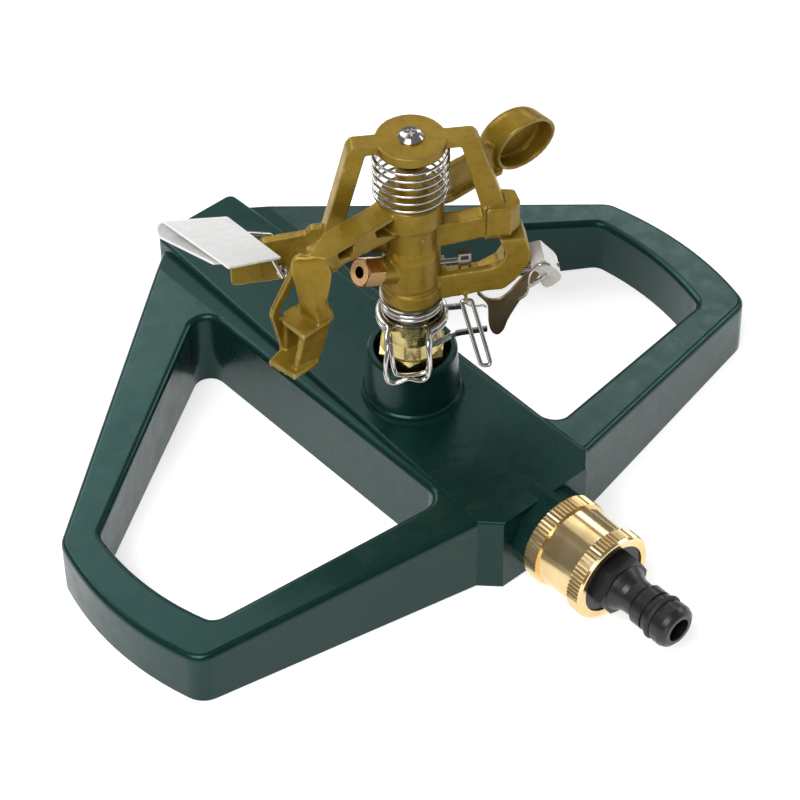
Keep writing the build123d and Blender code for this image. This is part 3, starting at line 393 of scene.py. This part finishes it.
def arm_with_spoon():
    """The drive arm with its spoon in full: the casting's beam and weight, and a sculpted spoon."""
    spoon_root_x, spoon_top_z, weight_root_x = -40.9, 105.5, 11.3
    mesh = nodes["drive_arm"].data.copy()
    mesh.transform(nodes["drive_arm"].matrix_world)
    bm = bmesh.new()
    bm.from_mesh(mesh)
    bmesh.ops.remove_doubles(bm, verts=bm.verts, dist=1e-6)
    cuts = [((spoon_root_x, 0, 0), (1, 0, 0)), ((0, 0, spoon_top_z), (0, 0, 1)), ((weight_root_x, 0, 0), (-1, 0, 0))]
    for place, normal in cuts:
        geometry = bm.verts[:] + bm.edges[:] + bm.faces[:]
        cut = bmesh.ops.bisect_plane(bm, geom=geometry, plane_co=arm_point(*place), plane_no=normal, clear_inner=True)
        rim = [e for e in cut["geom_cut"] if isinstance(e, bmesh.types.BMEdge)]
        bmesh.ops.holes_fill(bm, edges=rim, sides=0)
    add_weight(bm)
    add_vane(bm)
    add_scoop(bm)
    add_beam_end(bm)
    bmesh.ops.recalc_face_normals(bm, faces=bm.faces)
    bm.to_mesh(mesh)
    bm.free()
    piece = piece_of(mesh, "arm_casting", "arm", "ochre_casting")
    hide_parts("drive_arm")
    soften(piece, 0.52, 3)
    return piece


def lever_plate():
    """Trip lever: a flat plate with a flowing outline and broken edges."""
    outline = [(30.3, 57.2), (28.5, 57.9), (27.2, 60.5), (26.7, 64.1), (26.6, 68.6), (26.1, 72.0), (24.3, 74.9),
               (22.7, 76.9), (22.9, 78.0), (23.9, 77.2), (26.0, 74.6), (28.5, 73.6), (31.0, 74.1), (33.4, 76.0),
               (35.6, 79.1), (38.1, 82.4), (41.3, 86.3), (41.9, 88.6), (43.6, 89.2), (45.4, 88.3), (45.6, 86.4),
               (44.0, 83.2), (41.6, 79.2), (39.0, 74.6), (36.8, 70.9), (34.6, 66.4), (33.2, 63.0), (32.2, 59.5)]
    loop = smooth_loop([(x, z, 0) for x, z in outline], 3)
    bm = bmesh.new()
    add_loft(bm, [[head_point(p.x, y, p.y) for p in loop] for y in (-1.6, 0.0)])
    bmesh.ops.recalc_face_normals(bm, faces=bm.faces)
    flats = [f for f in bm.faces if len(f.verts) > 4]
    rim = {e for f in flats for e in f.edges}
    bmesh.ops.bevel(bm, geom=list(rim), offset=0.22 * MM, segments=2, affect="EDGES")
    mesh = bpy.data.meshes.new("lever_plate")
    bm.to_mesh(mesh)
    bm.free()
    piece = piece_of(mesh, "lever_plate", "lever", "bronze_plate")
    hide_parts("trip_lever")


def wire_piece(name, points, radius, body, slot_name, closed=False, place=head_point):
    """Bent round wire as a smooth curve."""
    data = bpy.data.curves.new(name, "CURVE")
    data.dimensions = "3D"
    data.bevel_depth = radius * MM
    data.bevel_resolution = 5
    data.resolution_u = 8
    data.use_fill_caps = True
    spline = data.splines.new("NURBS")
    spline.points.add(len(points) - 1)
    for point, place_mm in zip(spline.points, points):
        point.co = (*place(*place_mm), 1.0)
    spline.use_cyclic_u = closed
    spline.use_endpoint_u = not closed
    spline.order_u = 3
    piece = bpy.data.objects.new(name, data)
    bpy.context.scene.collection.objects.link(piece)
    data.materials.append(looks[slot_name])
    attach(piece, body)
    return piece


def hairpin():
    """Hairpin with round bends, its ends turned in to the lug."""
    top = Vector((17.9, -7.4, 80.6))
    foot = Vector((23.1, -19.6, 60.7))
    half = 1.8
    down = (foot - top).normalized()
    side = Vector((half, 0, 0))
    near_top = top + down * half
    near_foot = foot - down * half
    route = [top - side * 0.1, top - side * 0.8, top - side + down * 0.6, near_top - side + down, top - side + down * 8,
             near_foot - side, foot - side * 0.85, foot + side * 0.85, near_foot + side, top + side + down * 8,
             near_top + side + down, top + side + down * 0.6, top + side * 0.8, top + side * 0.1]
    piece = wire_piece("hairpin_wire", [tuple(p) for p in route], 0.75, "hairpin", "stainless")
    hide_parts("trip_hairpin")


def ring_points(z, radius, start, turn, count):
    """Points round a collar's ring."""
    made = []
    for i in range(count + 1):
        a = math.radians(start + turn * i / count)
        made.append((radius * math.cos(a), radius * math.sin(a), z))
    return made


def collars():
    """Wire collars: an open ring each, a pinched handle in front and a flat tail."""
    right_end, round_turn, ring_r = -67.0, 288.0, 11.8
    upper = ring_points(71.5, ring_r, right_end, round_turn, 24)
    upper += [(-10.6, -12.4, 71.2), (-10.2, -16.0, 70.4), (-11.9, -18.8, 64.5), (-11.6, -19.9, 58.6),
              (-9.6, -20.4, 57.0), (-7.2, -20.5, 57.2), (-4.2, -20.3, 58.9), (-1.2, -20.5, 57.2), (1.4, -20.4, 57.0),
              (3.4, -19.9, 58.8), (3.6, -18.6, 65.0), (3.3, -16.2, 70.0), (4.2, -12.6, 71.2)]
    handle = wire_piece("collar_upper_wire", upper, 0.9, "upper_collar", "stainless", closed=True)
    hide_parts("trip_collar_upper")
    tail = strip_piece("collar_upper_tail", [(11.2, -0.3, 71.5), (18.3, -0.3, 71.5)], "upper_collar")
    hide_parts("trip_collar_upper")
    lower = ring_points(69.3, ring_r, right_end, round_turn, 24)
    lower += [(-9.2, -12.0, 68.0), (-8.9, -14.4, 64.0), (-8.4, -15.4, 59.0), (-7.4, -16.0, 56.2), (-2.2, -16.2, 55.9),
              (2.8, -16.0, 56.2), (3.9, -15.1, 59.0), (4.2, -13.8, 64.0), (4.5, -12.4, 68.0)]
    handle = wire_piece("collar_lower_wire", lower, 0.9, "lower_collar", "stainless", closed=True)
    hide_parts("trip_collar_lower")
    route = [(4.5, -12.5, 66.0), (8.5, -8.8, 63.8), (12.6, -4.9, 62.1), (14.4, -3.7, 61.8), (16.5, -3.2, 61.7),
             (26.0, -2.6, 61.7)]
    tail = strip_piece("collar_lower_tail", route, "lower_collar")
    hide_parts("trip_collar_lower")


def strip_piece(name, points, body):
    """Flat bar standing on edge along a route, its corners broken."""
    tall, thick, corner = 2.5, 1.3, 0.35
    bm = bmesh.new()
    sections = []
    for i, p in enumerate(points):
        before, after = Vector(points[max(i - 1, 0)]), Vector(points[min(i + 1, len(points) - 1)])
        along = (after - before).normalized()
        side = along.cross(Vector((0, 0, 1))).normalized()
        up = side.cross(along)
        loop = []
        for a, b in ((1, 1), (-1, 1), (-1, -1), (1, -1)):
            w, h = a * thick / 2, b * tall / 2
            ends = [(w, h - b * corner), (w - a * corner, h)]
            loop += ends if a * b > 0 else ends[::-1]
        sections.append([head_point(*(Vector(p) + side * w + up * h)) for w, h in loop])
    add_loft(bm, sections)
    bmesh.ops.recalc_face_normals(bm, faces=bm.faces)
    mesh = bpy.data.meshes.new(name)
    bm.to_mesh(mesh)
    bm.free()
    return piece_of(mesh, name, body, "stainless")


def trip_wires():
    """Spring wires of the trip that lie along the saddle's near cheek."""
    y = -6.55
    path = [(36.4, -4.4, 75.6), (38.1, y, 78.6), (39.6, y, 81.7), (39.3, y, 86.5), (40.0, y, 89.7), (41.9, y, 92.3),
            (44.0, y, 93.6), (46.6, y, 92.6)]
    piece = wire_piece("centre_spring_wire", path, 0.42, "head", "stainless")
    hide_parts("over_centre_spring")
    rod = wire_piece("centre_spring_rod", [(39.2, y - 0.2, 83.4), (42.5, y - 0.2, 85.8), (46.0, y - 0.2, 88.2)], 0.75,
                     "head", "stainless")
    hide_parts("over_centre_spring")
    wire_piece("hairpin_link", [(17.2, -7.2, 79.6), (19.4, -5.6, 76.4), (22.3, -4.0, 74.0), (24.4, -2.6, 73.2),
                                (25.6, -2.0, 71.6)], 0.42, "head", "stainless")


def short_pin():
    """The trip's pin, its end flush in the saddle's face."""
    pin = wire_piece("trip_pin_flush", [(28.0, -0.8, 86.5), (40.0, -0.8, 86.5), (51.0, -0.8, 86.5)], 1.2, "head",
                     "stainless")
    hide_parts("trip_pin")


arm_with_spoon()
short_pin()
lever_plate()
hairpin()
collars()
trip_wires()
soften(nodes["head_casting"], 0.40, 5)


# Stage
def stage_floor():
    bpy.ops.mesh.primitive_plane_add(size=8.0, location=(0, 0, -0.0004))
    floor = bpy.context.object
    floor.name = "floor"
    mat = bpy.data.materials.new("floor")
    mat.use_nodes = True
    tree = mat.node_tree
    tree.nodes.clear()
    out = tree.nodes.new("ShaderNodeOutputMaterial")
    diffuse = tree.nodes.new("ShaderNodeBsdfDiffuse")
    diffuse.inputs["Color"].default_value = (0.80, 0.80, 0.80, 1)
    glow = tree.nodes.new("ShaderNodeEmission")
    glow.inputs["Strength"].default_value = 0.55
    path = tree.nodes.new("ShaderNodeLightPath")
    seen = tree.nodes.new("ShaderNodeMath")
    seen.operation = "MAXIMUM"
    seen2 = tree.nodes.new("ShaderNodeMath")
    seen2.operation = "MAXIMUM"
    none = tree.nodes.new("ShaderNodeEmission")
    none.inputs["Strength"].default_value = 0.0
    pick = tree.nodes.new("ShaderNodeMixShader")
    total = tree.nodes.new("ShaderNodeAddShader")
    tree.links.new(path.outputs["Is Camera Ray"], seen.inputs[0])
    tree.links.new(path.outputs["Is Glossy Ray"], seen.inputs[1])
    tree.links.new(seen.outputs[0], seen2.inputs[0])
    tree.links.new(path.outputs["Is Transmission Ray"], seen2.inputs[1])
    tree.links.new(seen2.outputs[0], pick.inputs[0])
    tree.links.new(none.outputs[0], pick.inputs[1])
    tree.links.new(glow.outputs[0], pick.inputs[2])
    tree.links.new(diffuse.outputs[0], total.inputs[0])
    tree.links.new(pick.outputs[0], total.inputs[1])
    tree.links.new(total.outputs[0], out.inputs["Surface"])
    floor.data.materials.append(mat)


def lamp(name, place, target, size, watts):
    data = bpy.data.lights.new(name, "AREA")
    data.shape = "RECTANGLE"
    data.size, data.size_y = size
    data.energy = watts
    lamp_object = bpy.data.objects.new(name, data)
    bpy.context.scene.collection.objects.link(lamp_object)
    lamp_object.location = place
    aim = Vector(target) - Vector(place)
    lamp_object.rotation_euler = aim.to_track_quat("-Z", "Y").to_euler()


def camera():
    a, e = math.radians(CAM_AZIMUTH), math.radians(CAM_ELEVATION)
    r = math.radians(CAM_ROLL)
    back = Vector((math.sin(a) * math.cos(e), -math.cos(a) * math.cos(e), math.sin(e)))
    right = Vector((math.cos(a), math.sin(a), 0))
    up = back.cross(right)
    across = right * math.cos(r) + up * math.sin(r)
    upward = -right * math.sin(r) + up * math.cos(r)
    centre = back * CAM_DISTANCE + across * CAM_RIGHT + upward * CAM_UP + Vector((0, HEAD_Y, 0))
    data = bpy.data.cameras.new("camera")
    data.sensor_width = SENSOR
    data.lens = CAM_LENS
    data.clip_start = 0.05
    data.clip_end = 50.0
    cam = bpy.data.objects.new("camera", data)
    bpy.context.scene.collection.objects.link(cam)
    turn = Matrix((across, upward, back)).transposed().to_4x4()
    cam.matrix_world = Matrix.Translation(centre * MM) @ turn
    bpy.context.scene.camera = cam


def world():
    w = bpy.data.worlds.new("studio")
    bpy.context.scene.world = w
    w.use_nodes = True
    w.node_tree.nodes["Background"].inputs["Color"].default_value = (1, 1, 1, 1)
    w.node_tree.nodes["Background"].inputs["Strength"].default_value = 0.20


stage_floor()
world()
camera()
lamp("key", (-0.80, -0.30, 1.10), (0, 0, 0.05), (0.8, 0.8), 13)
lamp("back", (-0.15, 1.10, 0.95), (0, 0, 0.05), (1.1, 0.6), 7)
lamp("overhead", (0.30, 0.85, 1.00), (0.30, 0.85, 0.0), (0.66, 0.80), 2.8)
lamp("right", (1.32, 0.90, 1.00), (1.32, 0.90, 0.0), (0.70, 0.60), 4.6)
lamp("side", (1.1, -0.3, 0.7), (0, 0, 0.06), (0.5, 0.5), 3.0)

scene = bpy.context.scene
scene.view_settings.view_transform = "Standard"
